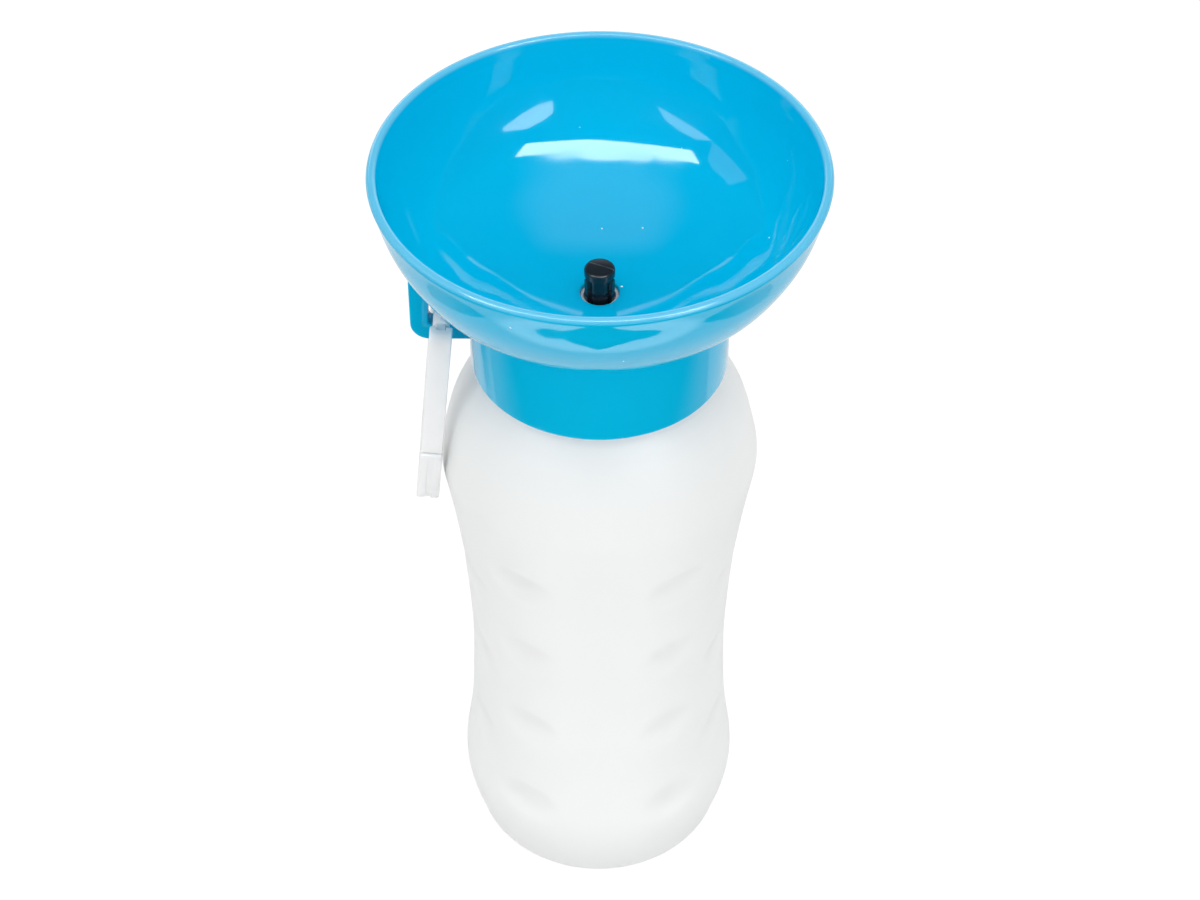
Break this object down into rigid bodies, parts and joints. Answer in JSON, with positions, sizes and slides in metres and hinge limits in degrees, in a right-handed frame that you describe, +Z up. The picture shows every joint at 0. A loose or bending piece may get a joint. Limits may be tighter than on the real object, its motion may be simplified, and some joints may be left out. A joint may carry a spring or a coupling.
{
  "type": "dog travel water bottle",
  "caption": "Waisted squeeze bottle with a round drinking bowl screwed on its neck, a push-pull valve in the bowl's floor, a dip tube and a snap hook hanging from an ear on the collar.",
  "frame": {"origin": "middle of the bottle's base, on the surface that it stands on", "axes": "+Z up along the bottle's axis, +X to the picture's right, so the ear and hook are on the -X side and the picture looks along +Y"},
  "size_m": [0.1144, 0.1144, 0.2346],
  "materials": {
    "bottle_plastic": "milky translucent blow-moulded plastic, satin",
    "blue_plastic": "glossy moulded plastic, sky blue",
    "white_plastic": "satin moulded plastic, white",
    "black_plastic": "moulded plastic, black with a soft shine",
    "black_rubber": "soft rubber, black",
    "silicone": "pale translucent silicone",
    "tube_plastic": "clear extruded tube",
    "steel": "drawn stainless wire"
  },
  "bodies": {
    "bottle": {"bottle": "bottle_plastic"},
    "cap_seal": {"neck_gasket": "silicone"},
    "cap": {"collar": "blue_plastic", "bowl": "blue_plastic", "valve_seat": "silicone", "valve_housing": "white_plastic", "housing_cap": "white_plastic", "dip_tube": "tube_plastic"},
    "valve": {"valve_stem": "black_plastic", "stem_o_ring": "black_rubber"},
    "hook": {"hook_body": "white_plastic", "gate_pin": "steel", "gate_spring": "steel"},
    "gate": {"hook_gate": "white_plastic"}
  },
  "joints": [
    {"name": "cap_lift", "type": "slide", "parent": "bottle", "child": "cap_seal", "axis": [0, 0, 1], "range_m": [0, 0.006]},
    {"name": "cap_turn", "type": "hinge", "parent": "cap_seal", "child": "cap", "pos_m": [0, 0, 0.186], "axis": [0, 0, 1], "range_deg": [0, 540]},
    {"name": "valve_push", "type": "slide", "parent": "cap", "child": "valve", "axis": [0, 0, 1], "range_m": [-0.0082, 0]},
    {"name": "hook_swing", "type": "hinge", "parent": "cap", "child": "hook", "pos_m": [-0.0403, 0, 0.1874], "axis": [0, 1, 0], "range_deg": [0, 115]},
    {"name": "gate_open", "type": "hinge", "parent": "hook", "child": "gate", "pos_m": [-0.04035, -0.0095, 0.18685], "axis": [0.9952, 0, -0.0975], "range_deg": [0, 24], "stiffness_Nm_per_rad": 0.02, "springref_deg": -17.19, "deforming": ["gate_spring"]}
  ],
  "couplings": [
    {"joint": "cap_lift", "follows": "cap_turn", "m_per_rad": 0.00063661}
  ]
}
